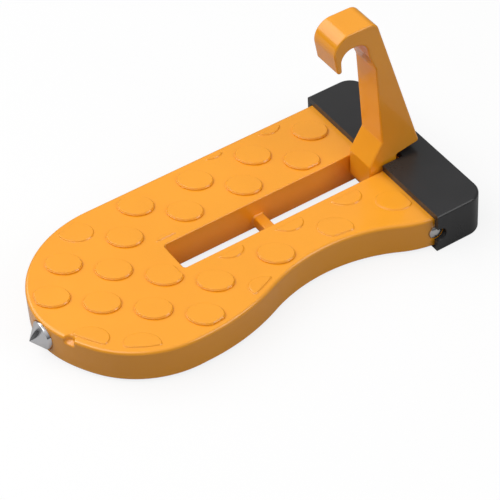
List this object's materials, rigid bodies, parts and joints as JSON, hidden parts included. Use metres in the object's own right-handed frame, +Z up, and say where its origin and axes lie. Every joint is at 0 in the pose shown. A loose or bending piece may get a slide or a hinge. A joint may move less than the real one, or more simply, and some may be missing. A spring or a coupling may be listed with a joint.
{
  "type": "car door latch step",
  "caption": "Folding step that hangs on a car door striker: studded cast tread with a waist and a slot, swinging hook, rubber end cap and a steel cone tip.",
  "frame": {"origin": "middle of the footprint, on the surface that the step stands on", "axes": "+X along the tread towards the hook and cap, +Z up, +Y across the tread towards its straight edge"},
  "size_m": [0.166, 0.0822, 0.0842],
  "materials": {
    "orange_paint": "gloss",
    "hook_paint": "gloss",
    "pin_steel": "polished",
    "cap_rubber": "satin",
    "tip_steel": "polished"
  },
  "bodies": {
    "step": {"step_plate": "orange_paint", "hinge_pin": "pin_steel", "end_cap": "cap_rubber", "breaker_tip": "tip_steel"},
    "hook": {"hook_arm": "hook_paint"}
  },
  "joints": [
    {"name": "hook_hinge", "type": "hinge", "parent": "step", "child": "hook", "pos_m": [0.06245, 0, 0.0078], "axis": [0, -1, 0], "range_deg": [-9, 88]}
  ]
}
